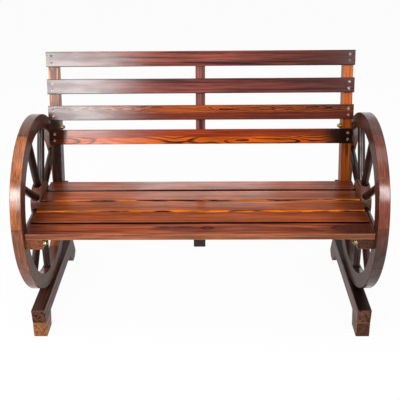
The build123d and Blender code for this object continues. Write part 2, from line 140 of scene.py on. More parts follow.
# %% [markdown]
# ## Textures, groups and colours
# Noise is stretched by multiplying the place before it is read: a few waves per metre along
# the grain and many across it. A group's sockets are filled by name, so a line that places
# one reads like a form. Colours are written as they show on a screen.

# %% Texture and group helpers
def noise(tree, vector, detail=2.0, roughness=0.5):
    """A Noise Texture that is read where the vector says, with one wave per unit."""
    node = tree.nodes.new("ShaderNodeTexNoise")
    node.inputs["Scale"].default_value = 1.0
    node.inputs["Detail"].default_value = detail
    node.inputs["Roughness"].default_value = roughness
    feed(tree, node.inputs["Vector"], vector)
    return node.outputs


def grain_noise(tree, place, waves, detail=2.0, roughness=0.5):
    """Noise with its own number of waves per metre along each axis."""
    return noise(tree, vector_calc(tree, "MULTIPLY", place, waves), detail, roughness)


def new_group(name, inputs, outputs):
    """A shader node group. Returns its tree, its inputs' node and its outputs' node."""
    tree = bpy.data.node_groups.new(name, "ShaderNodeTree")
    for socket_name, kind, default in inputs:
        socket = tree.interface.new_socket(socket_name, in_out="INPUT", socket_type=kind)
        socket.default_value = default
    for socket_name, kind in outputs:
        tree.interface.new_socket(socket_name, in_out="OUTPUT", socket_type=kind)
    entry = tree.nodes.new("NodeGroupInput")
    end = tree.nodes.new("NodeGroupOutput")
    return tree, entry.outputs, end.inputs


NUMBER = "NodeSocketFloat"
COLOUR = "NodeSocketColor"
VECTOR = "NodeSocketVector"


def place_group(tree, group, **values):
    """Put a group in a material, with its values named by their sockets."""
    node = tree.nodes.new("ShaderNodeGroup")
    node.node_tree = group
    for name, value in values.items():
        feed(tree, node.inputs[name.replace("_", " ")], value)
    return node.outputs


def srgb(red, green, blue):
    """A colour as read on a screen, 0 to 255, turned into the linear values of a shader."""
    linear = []
    for part in (red, green, blue):
        part = part / 255
        linear.append(part / 12.92 if part <= 0.04045 else ((part + 0.055) / 1.055) ** 2.4)
    return (*linear, 1.0)


print("helpers ready")

# %% [markdown]
# ## The growth rings of fir
# A board is cut from a trunk, so its figure is a slice through long nested tubes. If the
# trunk's axis runs close to the face at a small angle, the slice shows the pointed arches of
# flat-sawn fir. We make the tubes themselves: the distance from a wandering axis, divided
# by the width of a ring. A flat wood picture could not also give the matching end grain.

# %% Group: fir figure
# Waves are per metre: along the grain, across it, and through the board.
seed_step = (3.7, 1.9, 2.3)
noise_middle = (0.5, 0.5, 0.5)
sway_waves_across = 9.0
wobble_waves = (14.0, 60.0, 60.0)
wobble_share = 0.35
late_wood_rise = (0.46, 0.80)
late_wood_fall = (0.94, 1.0)
ring_strength_waves = (3.0, 22.0, 22.0)
ring_strength_range = (0.20, 0.44)
fibre_waves = (7.0, 190.0, 190.0)
fibre_range = (0.36, 0.64)
blotch_waves = (3.2, 16.0, 16.0)
blotch_range = (0.3, 0.7)
streak_waves = (2.2, 120.0, 120.0)
streak_range = (0.50, 0.62)
border_sway_along = 0.12
border_sway_across = 0.15

fir_figure, given, result = new_group(
    "fir_figure",
    (
        ("Board", VECTOR, (0, 0, 0)),
        ("Seed", NUMBER, 0.0),
        ("Pith Across", NUMBER, 0.0),
        ("Pith Deep", NUMBER, 0.03),
        ("Pith Slope", NUMBER, 0.02),
        ("Ring Width", NUMBER, 0.006),
        ("Wander", NUMBER, 0.012),
        ("Waves per Metre", NUMBER, 2.6),
    ),
    (("Ring", NUMBER), ("Fibre", NUMBER), ("Blotch", NUMBER), ("Streak", NUMBER),
     ("Along", NUMBER), ("Across", NUMBER)),
)
t = fir_figure
moved = vector_calc(t, "ADD", given["Board"], scaled(t, seed_step, given["Seed"]))

# The trunk's axis wanders, so the board is bent before the distance is measured.
waves = vector_of(t, given["Waves per Metre"], sway_waves_across, sway_waves_across)
slow = grain_noise(t, moved, waves)["Color"]
sway = scaled(t, vector_calc(t, "SUBTRACT", slow, noise_middle), given["Wander"])
bent = vector_calc(t, "ADD", given["Board"], sway)
along, across, deep = parts_of(t, bent)[:]
leaning = calc(t, "MULTIPLY_ADD", along, given["Pith Slope"], across)
side_way = calc(t, "SUBTRACT", leaning, given["Pith Across"])
deep_way = calc(t, "SUBTRACT", deep, given["Pith Deep"])
distance = vector_calc(t, "LENGTH", vector_of(t, 0.0, side_way, deep_way))

# Within one ring the wood darkens slowly and ends sharply.
wobble = grain_noise(t, moved, wobble_waves)[0]
ring_count = calc(t, "DIVIDE", distance, given["Ring Width"])
ring_place = calc(t, "FRACT", calc(t, "MULTIPLY_ADD", wobble, wobble_share, ring_count))
rise = ramp(t, ring_place, *late_wood_rise)
fall = ramp(t, ring_place, *late_wood_fall, 1.0, 0.0)
strength = ramp(t, grain_noise(t, moved, ring_strength_waves)[0], *ring_strength_range)
feed(t, result["Ring"], calc(t, "MULTIPLY", calc(t, "MULTIPLY", rise, fall), strength))

fibre = grain_noise(t, moved, fibre_waves, detail=4.0, roughness=0.68)[0]
feed(t, result["Fibre"], ramp(t, fibre, *fibre_range))
blotch = grain_noise(t, moved, blotch_waves, detail=3.0)[0]
feed(t, result["Blotch"], ramp(t, blotch, *blotch_range))
streak = grain_noise(t, moved, streak_waves, detail=3.0)[0]
feed(t, result["Streak"], ramp(t, streak, *streak_range))

# Along and Across are the plain place with a little sway, for borders that aren't straight.
uneven = scaled(t, vector_calc(t, "SUBTRACT", noise_middle, slow), border_sway_along)
along_sway, across_sway = parts_of(t, uneven)[0:2]
plain_along, plain_across = parts_of(t, given["Board"])[0:2]
feed(t, result["Along"], calc(t, "ADD", plain_along, along_sway))
feed(t, result["Across"],
     calc(t, "MULTIPLY_ADD", across_sway, border_sway_across, plain_across))
print("group", fir_figure.name, "has", len(fir_figure.nodes), "nodes")

# %% [markdown]
# ## Stain and lacquer
# The maker scorched and stained the fir, which turns the soft early wood red-brown and the
# hard late wood nearly black, then brushed a gloss lacquer over it. This group lays those
# colours over each other. The lacquer itself is the coat of each material's own shader.

# %% Group: stained fir
brightest_ground = 1.12
heart_calm = 0.65
darkest_fibre = 0.66
fibre_contrast = 0.60
end_grain_stain = 0.55
rubbed_share = 0.5
plain_roughness = 0.34
fibre_roughness = 0.12
rubbed_roughness = 0.1
end_grain_roughness = 0.2
fibre_relief = 0.4
ring_hollow = 0.6

stained_fir, given, result = new_group(
    "stained_fir",
    (
        ("Early Wood", COLOUR, srgb(150, 80, 50)),
        ("Late Wood", COLOUR, srgb(60, 28, 18)),
        ("Heart Wood", COLOUR, srgb(120, 60, 40)),
        ("Streak Colour", COLOUR, srgb(52, 34, 36)),
        ("Rubbed Colour", COLOUR, srgb(190, 130, 90)),
        ("Ring", NUMBER, 0.0),
        ("Fibre", NUMBER, 0.0),
        ("Blotch", NUMBER, 0.0),
        ("Streak", NUMBER, 0.0),
        ("Heart", NUMBER, 0.0),
        ("End Grain", NUMBER, 0.0),
        ("Rub", NUMBER, 0.0),
        ("Scorch", NUMBER, 0.0),
        ("Ring Depth", NUMBER, 0.8),
        ("Streak Depth", NUMBER, 0.4),
        ("Blotch Depth", NUMBER, 0.3),
    ),
    (("Colour", COLOUR), ("Roughness", NUMBER), ("Height", NUMBER)),
)
t = stained_fir
ground = blend(t, given["Heart"], given["Early Wood"], given["Heart Wood"])
shade = calc(t, "MULTIPLY", given["Blotch"], given["Blotch Depth"])
ground = scaled(t, ground, calc(t, "SUBTRACT", brightest_ground, shade))
ring_share = calc(t, "MULTIPLY", given["Ring"], given["Ring Depth"])
calm = calc(t, "MULTIPLY_ADD", given["Heart"], -heart_calm, 1.0)
ringed = blend(t, calc(t, "MULTIPLY", ring_share, calm), ground, given["Late Wood"])
streaked = blend(t, calc(t, "MULTIPLY", given["Streak"], given["Streak Depth"]),
                 ringed, given["Streak Colour"])
fibre_light = calc(t, "MULTIPLY_ADD", given["Fibre"], fibre_contrast, darkest_fibre)
fibred = scaled(t, streaked, fibre_light)
# Darkening blends towards the late wood: scorch in some places, painted shade in others.
darkened = blend(t, given["Scorch"], fibred, given["Late Wood"])
end_share = calc(t, "MULTIPLY", given["End Grain"], end_grain_stain)
ended = blend(t, end_share, darkened, given["Late Wood"])
rub_share = calc(t, "MULTIPLY", given["Rub"], rubbed_share)
rubbed = blend(t, rub_share, ended, given["Rubbed Colour"])
feed(t, result["Colour"], rubbed)
rough = calc(t, "MULTIPLY_ADD", given["Fibre"], fibre_roughness, plain_roughness)
rough = calc(t, "MULTIPLY_ADD", given["Rub"], rubbed_roughness, rough)
rough = calc(t, "MULTIPLY_ADD", given["End Grain"], end_grain_roughness, rough)
feed(t, result["Roughness"], rough)
hollow = calc(t, "MULTIPLY", given["Ring"], ring_hollow)
relief = calc(t, "MULTIPLY", given["Fibre"], fibre_relief)
feed(t, result["Height"], calc(t, "SUBTRACT", relief, hollow))
print("group", stained_fir.name, "has", len(stained_fir.nodes), "nodes")

# %% [markdown]
# ## Where hands and weather rub
# On a real bench the sharp edges lose stain first. A Bevel node answers with the normal that a
# rounded edge would have. Where it differs from the face's own normal, we are near an edge.
# A broken-up noise keeps the rubbed line from looking like a drawn outline.

# %% Group: rubbed edges
bevel_samples = 6
edge_likeness = (0.995, 0.86)
chips_per_metre = 60.0
chip_range = (0.38, 0.62)

rubbed_edges, given, result = new_group(
    "rubbed_edges",
    (("Reach", NUMBER, 0.003), ("Place", VECTOR, (0, 0, 0))),
    (("Rub", NUMBER),),
)
t = rubbed_edges
bevel = t.nodes.new("ShaderNodeBevel")
bevel.samples = bevel_samples
feed(t, bevel.inputs["Radius"], given["Reach"])
geometry = t.nodes.new("ShaderNodeNewGeometry")
likeness = vector_calc(t, "DOT_PRODUCT", bevel.outputs[0], geometry.outputs["Normal"])
near_edge = ramp(t, likeness, *edge_likeness)
broken = noise(t, scaled(t, given["Place"], chips_per_metre), detail=3.0)[0]
feed(t, result["Rub"], calc(t, "MULTIPLY", near_edge, ramp(t, broken, *chip_range)))
print("group", rubbed_edges.name, "has", len(rubbed_edges.nodes), "nodes")

# %% [markdown]
# ## Grain that follows the wheel
# A rim is not bent from one strip. It is glued up from short straight-grained pieces, so the
# grain runs along each piece's chord and jumps at every joint. The group finds which piece a
# point belongs to from its angle round the axle and turns the point into that piece's own
# board. Every second glue joint shows as a thin dark line, because neighbours that were cut
# from one plank match in colour. Spokes use the same idea, with the grain pointing outwards.

# %% Group: board within a wheel
wheel_middle = (0.0, 0.0, 0.365)
first_rim_joint = radians(20)
rim_joint_step = radians(30)
seeds_between_wheels = 31.0
joint_line = (0.0004, 0.0014)

wheel_board, given, result = new_group(
    "wheel_board",
    (
        ("Place", VECTOR, (0, 0, 0)),
        ("First Angle", NUMBER, first_rim_joint),
        ("Angle Step", NUMBER, rim_joint_step),
        ("Grain Turn", NUMBER, 0.0),
    ),
    (("Board", VECTOR), ("Piece", NUMBER), ("Pair", NUMBER), ("Joint", NUMBER),
     ("Radius", NUMBER), ("Grain", VECTOR)),
)
t = wheel_board
step = given["Angle Step"]
from_axle = vector_calc(t, "SUBTRACT", given["Place"], wheel_middle)
axial, back_way, up_way = parts_of(t, from_axle)[:]
angle = calc(t, "ARCTAN2", up_way, back_way)
turned = calc(t, "DIVIDE", calc(t, "SUBTRACT", angle, given["First Angle"]), step)
piece = calc(t, "FLOOR", turned)

# The piece's own board: its grain runs at the piece's middle angle plus the grain turn.
half_way = calc(t, "ADD", piece, 0.5)
piece_angle = calc(t, "MULTIPLY_ADD", half_way, step, given["First Angle"])
grain_angle = calc(t, "ADD", piece_angle, given["Grain Turn"])
grain_y = calc(t, "COSINE", grain_angle)
grain_z = calc(t, "SINE", grain_angle)
along = calc(t, "ADD", calc(t, "MULTIPLY", back_way, grain_y),
             calc(t, "MULTIPLY", up_way, grain_z))
beside = calc(t, "SUBTRACT", calc(t, "MULTIPLY", up_way, grain_y),
              calc(t, "MULTIPLY", back_way, grain_z))
feed(t, result["Board"], vector_of(t, along, beside, axial))
feed(t, result["Grain"], vector_of(t, 0.0, grain_y, grain_z))

# The piece's number differs from wheel to wheel, so it can serve as a seed.
pieces_round = calc(t, "ROUND", calc(t, "DIVIDE", 2 * pi, step))
whole = calc(t, "FLOORED_MODULO", piece, pieces_round)
side = calc(t, "SIGN", axial)
feed(t, result["Piece"], calc(t, "MULTIPLY_ADD", side, seeds_between_wheels, whole))

# Neighbours cut from one plank make a pair, and only the joint between pairs shows.
pair_place = calc(t, "MULTIPLY", calc(t, "ADD", turned, 1.0), 0.5)
pair = calc(t, "FLOOR", pair_place)
pairs_round = calc(t, "ROUND", calc(t, "DIVIDE", pi, step))
feed(t, result["Pair"], calc(t, "FLOORED_MODULO", pair, pairs_round))
inside_pair = calc(t, "SUBTRACT", pair_place, pair)
radius = vector_calc(t, "LENGTH", vector_of(t, 0.0, back_way, up_way))
to_joint = calc(t, "MINIMUM", inside_pair, calc(t, "SUBTRACT", 1.0, inside_pair))
joint_turn = calc(t, "MULTIPLY", calc(t, "MULTIPLY", to_joint, 2.0), step)
joint_metres = calc(t, "MULTIPLY", joint_turn, radius)
feed(t, result["Radius"], radius)
feed(t, result["Joint"], ramp(t, joint_metres, *joint_line, 1.0, 0.0))
print("group", wheel_board.name, "has", len(wheel_board.nodes), "nodes")

# %% [markdown]
# ## Lacquered wood
# Every piece of wood has one shader: the stain sits in the base colour, and the clear lacquer
# is a coat above it. Very little light mirrors in the wood itself, so the sheens come from the
# coat. The fine height of fibres and rings goes to a Bump node.

# %% Recipe for a lacquered wood
thin_coat = 0.16
thick_coat = 0.85
coat_roughness = 0.2
under_coat_specular = 0.03
bump_distance = 0.0006
plain_bump = 0.4
plain_fir = dict(across=0.0, deep=0.03, slope=0.02, ring=0.006, wander=0.012, waves=2.6,
                 streak_depth=0.4)


def lacquered(name, tree_maker, bump_strength=plain_bump):
    """A material with a coat whose colour, roughness, height and coat come from tree_maker."""
    material = bpy.data.materials.new(name)
    material.use_nodes = True
    tree = material.node_tree
    shader = tree.nodes["Principled BSDF"]
    colour, roughness, height, coat = tree_maker(tree)
    feed(tree, shader.inputs["Base Color"], colour)
    feed(tree, shader.inputs["Roughness"], roughness)
    feed(tree, shader.inputs["Coat Weight"], coat)
    shader.inputs["Coat Roughness"].default_value = coat_roughness
    shader.inputs["Specular IOR Level"].default_value = under_coat_specular
    bump = tree.nodes.new("ShaderNodeBump")
    bump.inputs["Strength"].default_value = bump_strength
    bump.inputs["Distance"].default_value = bump_distance
    feed(tree, bump.inputs["Height"], height)
    feed(tree, shader.inputs["Normal"], bump.outputs[0])
    return material


def figure_of(tree, board, seed, look):
    """The fir figure of one piece of wood."""
    return place_group(
        tree, fir_figure, Board=board, Seed=seed, Pith_Across=look["across"],
        Pith_Deep=look["deep"], Pith_Slope=look["slope"], Ring_Width=look["ring"],
        Wander=look["wander"], Waves_per_Metre=look["waves"],
    )


def stain_of(tree, figure, look, **masks):
    """The stained colours of one piece of wood."""
    return place_group(
        tree, stained_fir, Early_Wood=look["early"], Late_Wood=look["late"],
        Heart_Wood=look.get("heart", look["early"]), Rubbed_Colour=look["rubbed"],
        Streak_Colour=look.get("streak_colour", look["late"]),
        Streak_Depth=look["streak_depth"], Blotch_Depth=look["blotch_depth"],
        Ring=figure["Ring"], Fibre=figure["Fibre"], Blotch=figure["Blotch"],
        Streak=figure["Streak"], **masks,
    )


print("lacquer recipe ready, its coat runs from", thin_coat, "to", thick_coat)

# %% [markdown]
# ## Marks on a board
# Masks say where a board differs from its plain stain: the darker stretches, some scorch and
# some painted shade, the bare patches of a front face and the painted shade of the gap before
# it, and the dark ring round a knot. The lacquer was brushed on by hand, so its thickness is
# cloudy, and some boards got more of it at one end.

# %% Marks on a board
# Knots lie on the top face, which is this far above the board's underside.
knot_height = 0.018
patch_waves = (13.0, 90.0, 260.0)
knot_fray = 0.3
knot_inside = (0.35, 0.75)
knot_outside = (0.9, 1.5)
cloud_waves = (11.0, 50.0, 50.0)
cloud_range = (0.34, 0.62)
cloud_coat = (0.8, 1.16)


def darkening_of(tree, along, stretches):
    """Darker stretches along a board, some scorch, some painted shade: (none at, full at,
    share) each.
    """
    total = 0.0
    for none_at, full_at, share in stretches:
        low, high, left, right_share = none_at, full_at, 0.0, share
        if none_at > full_at:
            low, high, left, right_share = full_at, none_at, share, 0.0
        share_here = ramp(tree, along, low, high, left, right_share)
        total = calc(tree, "ADD", total, share_here, clamp=True)
    return total


def front_marks(tree, place, front, darkening, look):
    """Patches on a board's front face: where its heart colour shows, and where the gap's shade
    is painted.
    """
    patch = grain_noise(tree, place, patch_waves)[0]
    heart = calc(tree, "MULTIPLY", front, ramp(tree, patch, *look["front_patches"]))
    gap_shade_share = ramp(tree, patch, *look["front_gap_shade"], 1.0, 0.0)
    gap_shade = calc(tree, "MULTIPLY", front, gap_shade_share)
    top_darkening = calc(tree, "MULTIPLY", darkening, calc(tree, "SUBTRACT", 1.0, front))
    return heart, calc(tree, "ADD", top_darkening, gap_shade, clamp=True)


def knot_ring(tree, board, fibre, knot):
    """The dark ring of a knot, given as (along, across, reach, squeeze of the grain's way)."""
    knot_along, knot_across, reach, squeeze = knot
    knot_place = (knot_along, knot_across, knot_height)
    from_knot = vector_calc(tree, "SUBTRACT", board, knot_place)
    from_knot = vector_calc(tree, "MULTIPLY", from_knot, (squeeze, 1.0, 1.0))
    far = calc(tree, "DIVIDE", vector_calc(tree, "LENGTH", from_knot), reach)
    far = calc(tree, "MULTIPLY_ADD", fibre, knot_fray, far)
    return calc(tree, "MULTIPLY", ramp(tree, far, *knot_inside),
                ramp(tree, far, *knot_outside, 1.0, 0.0))


def coat_of(tree, place, along, look):
    """How thick the lacquer lies: thicker at one end, and cloudy everywhere."""
    gloss_from, gloss_to = look["glossy_end"]
    if gloss_from > gloss_to:
        coat = ramp(tree, along, gloss_to, gloss_from, thick_coat, look["coat"])
    else:
        coat = ramp(tree, along, gloss_from, gloss_to, look["coat"], thick_coat)
    cloud = grain_noise(tree, place, cloud_waves)[0]
    coat = calc(tree, "MULTIPLY", coat, ramp(tree, cloud, *cloud_range, *cloud_coat))
    # A dull shaded end thins the lacquer where a board's end is painted with shade.
    if "dull_shaded_end" in look:
        coat = calc(tree, "MULTIPLY", coat, ramp(tree, along, *look["dull_shaded_end"]))
    return coat


print("marks ready: scorch, patches, knots and coat")

# %% [markdown]
# ## Boards
# Every board gets its own material from one recipe: where its trunk's axis ran, how wide its
# rings are, and which stain it took. The Mapping node turns the board so that its grain lies
# along the first axis. Boards of one kind count up from a first seed, because no two real
# boards match. Only the two feet of one side, and the two hubs, share a seed.

# %% Board material
recline = radians(17.6)
way_right = Vector((1, 0, 0))
way_back = Vector((0, 1, 0))
way_up = Vector((0, 0, 1))
way_up_slope = Vector((0, sin(recline), cos(recline)))
end_grain_facing = (0.75, 0.95)
front_facing = (0.5, 0.8)
level_facing = (0.5, 0.9)
first_seed = dict(seat=11, back=31, frame=51, beam=71, foot=75, hub=91)

# A border past the end of every board never shows, and no noise value lies below nought.
past_the_end = (1.0, 2.0)
below_all_noise = (-2.0, -1.0)
plain_board = dict(
    plain_fir, ring_depth=0.8, blotch_depth=0.3, rubbed=srgb(176, 112, 76), end_grain=1.0,
    shift=(0.0, 0.0, 0.0), coat=thin_coat, glossy_end=past_the_end,
    heart_edge=past_the_end, front_gap_shade=below_all_noise, darkening=(), knots=(),
    paler_sides_shaded_top=False,
)


def board_material(name, seed, axes, own_look):
    """Lacquered fir. The axes are the way of its grain and the way across its face."""
    grain, face_way = axes
    look = {**plain_board, **own_look}

    def build(tree):
        place = tree.nodes.new("ShaderNodeTexCoord").outputs["Object"]
        turn = tree.nodes.new("ShaderNodeMapping")
        turn.vector_type = "POINT"
        board_axes = Matrix((grain, face_way, grain.cross(face_way)))
        turn.inputs["Rotation"].default_value = board_axes.to_euler()
        from_middle = vector_calc(tree, "SUBTRACT", place, look["shift"])
        feed(tree, turn.inputs["Vector"], from_middle)
        board = turn.outputs[0]
        figure = figure_of(tree, board, float(seed), look)
        normal = tree.nodes.new("ShaderNodeNewGeometry").outputs["Normal"]
        facing = calc(tree, "ABSOLUTE", vector_calc(tree, "DOT_PRODUCT", normal, grain))
        sawn = ramp(tree, facing, *end_grain_facing, 0.0, look["end_grain"])
        heart = ramp(tree, figure["Across"], *look["heart_edge"])
        darkening = darkening_of(tree, figure["Along"], look["darkening"])
        if "front_patches" in look:
            forward = vector_calc(tree, "DOT_PRODUCT", normal, -face_way)
            front = ramp(tree, forward, *front_facing)
            heart, darkening = front_marks(tree, place, front, darkening, look)
        # With a shaded top, the top keeps the darker colour that paints the wheel's shade, and
        # the sides take the paler one.
        if look["paler_sides_shaded_top"]:
            level = calc(tree, "ABSOLUTE", parts_of(tree, normal)[2])
            heart = ramp(tree, level, *level_facing, 1.0, 0.0)
        for knot in look["knots"]:
            ring = knot_ring(tree, board, figure["Fibre"], knot)
            darkening = calc(tree, "MAXIMUM", darkening, ring)
        out = stain_of(
            tree, figure, look, Heart=heart, End_Grain=sawn, Scorch=darkening,
            Ring_Depth=look["ring_depth"],
            Rub=place_group(tree, rubbed_edges, Place=place)["Rub"],
        )
        coat = coat_of(tree, place, figure["Along"], look)
        return out["Colour"], out["Roughness"], out["Height"], coat

    return lacquered(name, build)


def dress(node, material):
    """Give a node's object this material in every slot."""
    item = bpy.data.objects[node]
    if not item.material_slots:
        item.data.materials.append(material)
    for slot in item.material_slots:
        slot.material = material


print("seeds start at", first_seed)

# %% [markdown]
# ## Seat boards
# Five boards make the seat. Seen from the front they are red-brown, and the front faces of the
# third and fourth glow amber between lenses of painted shade. The front faces of the second
# and fifth sit in the gaps and are painted near black with shade. The front board has two
# knots and a long pitch streak, each a dark ring round a point of the board.

# %% Seat
first_seat_middle = -0.231
seat_pitch = 0.070
seat_under = 0.377
whole_front = (-1.0, 0.0)
darker_tips = ((0.28, 0.50, 0.65), (-0.37, -0.47, 0.7))
amber = srgb(255, 132, 12)
# Near black for front faces deep in the gaps between boards: painted shade.
gap_shade_black = srgb(16, 6, 3)
seat_red = dict(early=srgb(160, 76, 38), late=srgb(64, 22, 10), ring=0.0065, ring_depth=0.35,
                streak_depth=0.28, blotch_depth=0.45, deep=-0.09, darkening=darker_tips)
seat_looks = (
    dict(seat_red, early=srgb(150, 70, 38), ring_depth=0.55, deep=-0.045, slope=0.03,
         streak_depth=0.45, rubbed=srgb(206, 132, 72), heart=srgb(150, 88, 60),
         front_patches=whole_front, coat=0.3,
         knots=((0.022, 0.006, 0.009, 0.45), (0.392, 0.004, 0.011, 0.45),
                (-0.075, 0.012, 0.0045, 0.07)),
         late=srgb(44, 14, 6), darkening=((0.30, 0.43, 0.85), (-0.37, -0.47, 0.6))),
    dict(seat_red, early=srgb(158, 74, 36), across=0.03, heart=gap_shade_black,
         front_patches=whole_front),
    dict(seat_red, early=srgb(170, 82, 34), late=srgb(40, 14, 6), across=-0.02,
         slope=-0.02, heart=amber, front_patches=(0.46, 0.52), front_gap_shade=(0.40, 0.46),
         coat=0.35),
    dict(seat_red, early=srgb(170, 82, 40), late=srgb(40, 14, 6), across=0.01, heart=amber,
         front_patches=(0.52, 0.58), front_gap_shade=(0.46, 0.52), coat=0.4),
    dict(seat_red, early=srgb(158, 72, 40), across=-0.03, heart=gap_shade_black,
         front_patches=whole_front, coat=0.5, glossy_end=(0.10, -0.35)),
)
for index, look in enumerate(seat_looks):
    look["shift"] = (0.0, first_seat_middle + seat_pitch * index, seat_under)
    name = f"seat_slat_{index + 1}"
    axes = (way_right, way_back)
    seed = first_seed["seat"] + index
    dress(name, board_material(f"seat_fir_{index + 1}", seed, axes, look))
print("seat boards:", len(seat_looks))

# %% [markdown]
# ## Back boards
# The four back boards differ most. The top two are plum brown with long smoky streaks. The
# third has dark eye-shaped arches, and the lowest is half red-brown and half bright orange,
# where the saw passed from heartwood into sapwood.

# %% Back
back_starts = (0.3692, 0.2847, 0.2017, 0.1250)
back_width = 0.0465
seat_top = 0.395
back_front = 0.068


def back_place(up_slope):
    """The point on the reclined back's face that lies this far up its slope."""
    return (
        0.0,
        back_front + up_slope * sin(recline),
        seat_top + up_slope * cos(recline),
    )


smoky = srgb(38, 24, 30)
dark_left = (-0.18, -0.42, 0.6)
dark_ends = ((0.02, 0.50, 0.72), dark_left)
glossy_left = (-0.08, -0.38)
back_looks = (
    dict(early=srgb(128, 66, 54), late=srgb(44, 16, 14), streak_colour=smoky, ring=0.009,
         ring_depth=0.45, streak_depth=0.85, deep=0.10, across=0.02, darkening=dark_ends,
         glossy_end=glossy_left),
    dict(early=srgb(122, 62, 54), late=srgb(46, 18, 18), streak_colour=smoky, ring=0.008,
         ring_depth=0.4, streak_depth=0.8, deep=0.12, across=-0.02,
         darkening=((-0.04, 0.14, 0.38), (0.20, 0.50, 0.35), dark_left), glossy_end=glossy_left),
    dict(early=srgb(164, 78, 32), late=srgb(28, 8, 6), heart=srgb(112, 46, 28),
         streak_colour=smoky, ring=0.0042, ring_depth=1.0, streak_depth=0.35, deep=0.004,
         across=0.012, slope=0.004, wander=0.024, waves=13.0, heart_edge=(0.006, -0.004),
         darkening=((0.02, 0.50, 0.5), dark_left), coat=0.1, glossy_end=glossy_left),
    dict(early=srgb(204, 92, 10), late=srgb(24, 6, 2), heart=srgb(150, 56, 24),
         streak_colour=smoky, ring=0.0050, ring_depth=1.0, streak_depth=0.2, deep=0.012,
         across=-0.013, slope=0.004, wander=0.034, waves=4.4, heart_edge=(-0.004, 0.004),
         # The far left stretch is painted shade, and the dull shaded end stops the lacquer
         # shining on it.
         darkening=((0.0, 0.10, 0.16), (0.15, 0.50, 0.35), (0.37, 0.44, 0.5),
                 (-0.43, -0.455, 0.9)), coat=0.08, glossy_end=(0.0, -0.4),
         dull_shaded_end=(-0.46, -0.43)),
)
for index, (start, look) in enumerate(zip(back_starts, back_looks)):
    look["shift"] = back_place(start + back_width / 2)
    name = f"back_slat_{index + 1}"
    axes = (way_right, way_up_slope)
    seed = first_seed["back"] + index
    dress(name, board_material(f"back_fir_{index + 1}", seed, axes, look))
print("back boards:", len(back_looks))

# %% [markdown]
# ## Uprights and bearers
# The uprights stand behind the back boards and the bearers lie under the seat. The right
# upright took a bright orange stain and the left one a pale one. The lower halves of both are
# darker, partly scorch and partly painted shade of the wheels. The middle bearer sits back in
# the shade under the seat, so its dark grey is painted shade.

# %% Frame
stile_x = 0.467
stile_middle = (0.16, 0.6)
bearer_x = 0.466
bearer_middle = (0.0, 0.36)
upright = (way_up_slope, way_right)
lengthwise = (way_back, way_right)
frame_looks = {
    # Both uprights are darker low down: partly scorch and partly painted shade of the wheels.
    "left_stile": (upright, dict(
        early=srgb(228, 142, 90), late=srgb(24, 9, 6), shift=(-stile_x, *stile_middle),
        deep=0.05, ring=0.005, darkening=((0.10, -0.02, 0.95),), coat=0.3)),
    "centre_stile": (upright, dict(
        early=srgb(132, 80, 70), late=srgb(48, 22, 20), shift=(0.0, *stile_middle),
        deep=0.04, ring=0.005)),
    "right_stile": (upright, dict(
        early=srgb(200, 100, 30), late=srgb(60, 18, 6), shift=(stile_x, *stile_middle),
        deep=0.05, ring=0.0045, darkening=((0.06, -0.06, 0.55),))),
    "left_seat_bearer": (lengthwise, dict(
        early=srgb(146, 86, 60), late=srgb(60, 30, 20), shift=(-bearer_x, *bearer_middle),
        deep=0.05, end_grain=0.3)),
    # The middle bearer's dark grey is painted shade, as it sits back under the seat.
    "centre_seat_bearer": (lengthwise, dict(
        early=srgb(58, 52, 57), late=srgb(30, 26, 30), shift=(0.0, *bearer_middle),
        deep=0.05)),
    "right_seat_bearer": (lengthwise, dict(
        early=srgb(88, 54, 40), late=srgb(40, 20, 14), shift=(bearer_x, *bearer_middle),
        deep=0.05, end_grain=0.3)),
    "stile_spacers": ((way_up, way_back), dict(
        early=srgb(90, 50, 36), late=srgb(50, 28, 22))),
}
for index, (name, (axes, look)) in enumerate(frame_looks.items()):
    dress(name, board_material(f"fir_{name}", first_seed["frame"] + index, axes, look))
print("frame pieces:", len(frame_looks))

# %% [markdown]
# ## Skids and feet
# The skid beams carry the wheels. They are nearly black on top, where the shade and dark
# reflection of the wheels are painted, and paler on their sides. The front foot blocks under
# them were stained less, and the rear ones are painted darker with the shade they stand in.

# %% Skids
skid_x = 0.501
beam_middle_z = 0.07
foot_middle_z = 0.02
# Each beam has a top colour that paints the wheel's shade and dark reflection, and a paler side
# colour.
beam_colours = {
    "left": (srgb(72, 42, 32), srgb(104, 62, 44)),
    "right": (srgb(36, 20, 15), srgb(112, 72, 54)),
}
foot_colours = {
    ("left", "front_foot"): srgb(176, 116, 70),
    ("right", "front_foot"): srgb(92, 60, 42),
    # The rear feet are painted darker for the shade they stand in under the bench.
    ("left", "rear_foot"): srgb(64, 38, 30),
    ("right", "rear_foot"): srgb(84, 52, 40),
}
for sign, side_name in ((-1, "left"), (1, "right")):
    top_colour, side_colour = beam_colours[side_name]
    beam_look = dict(early=top_colour, heart=side_colour, paler_sides_shaded_top=True,
                     late=srgb(20, 9, 6), deep=0.04, ring=0.005,
                     shift=(sign * skid_x, 0.0, beam_middle_z),
                     streak_colour=srgb(22, 12, 12), streak_depth=0.85,
                     rubbed=srgb(150, 110, 96), end_grain=0.2)
    beam_fir = board_material(f"fir_{side_name}_beam", first_seed["beam"] + sign, lengthwise,
                              beam_look)
    dress(f"{side_name}_skid_beam", beam_fir)
    for foot_name in ("front_foot", "rear_foot"):
        foot_look = dict(early=foot_colours[side_name, foot_name], late=srgb(44, 20, 10),
                         deep=0.03, ring=0.004,
                         shift=(sign * skid_x, 0.0, foot_middle_z),
                         streak_depth=0.6, end_grain=0.25, rubbed=srgb(226, 166, 108))
        foot_fir = board_material(f"fir_{side_name}_{foot_name}", first_seed["foot"] + sign,
                                  lengthwise, foot_look)
        dress(f"{side_name}_{foot_name}", foot_fir)
print("skids and feet dressed")

